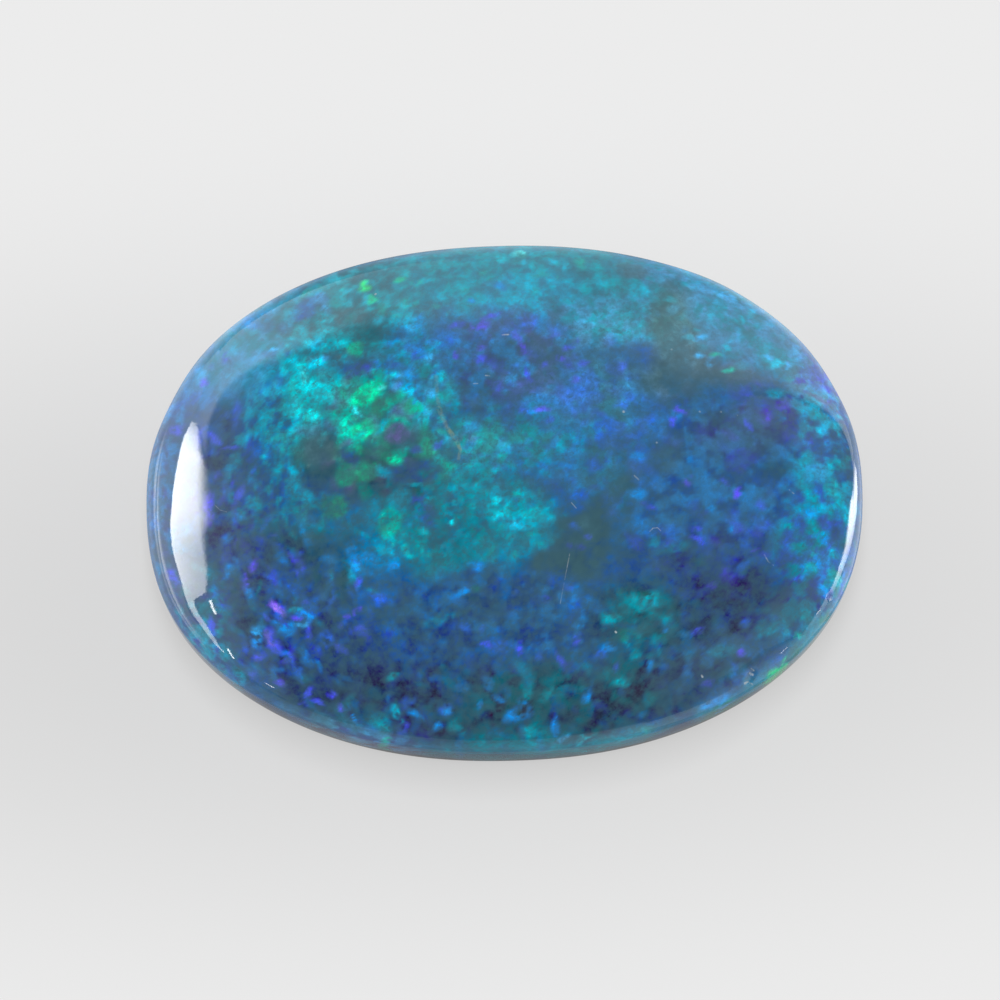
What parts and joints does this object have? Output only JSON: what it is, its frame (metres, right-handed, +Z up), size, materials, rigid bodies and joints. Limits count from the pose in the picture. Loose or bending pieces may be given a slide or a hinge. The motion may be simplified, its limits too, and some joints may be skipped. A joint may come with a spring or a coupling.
{
  "type": "black opal cabochon",
  "caption": "Oval polished black opal cabochon with a low dome, a rounded girdle wall and a flat back, to lie on a surface or sit in a setting.",
  "frame": {"origin": "middle of the stone's box, on the flat back that it rests on", "axes": "+X along the long axis of the oval, +Y along the short axis, +Z up through the dome"},
  "size_m": [0.014, 0.0102, 0.0036],
  "materials": {
    "opal": "polished"
  },
  "bodies": {
    "root": {"cabochon": "opal"}
  },
  "joints": []
}
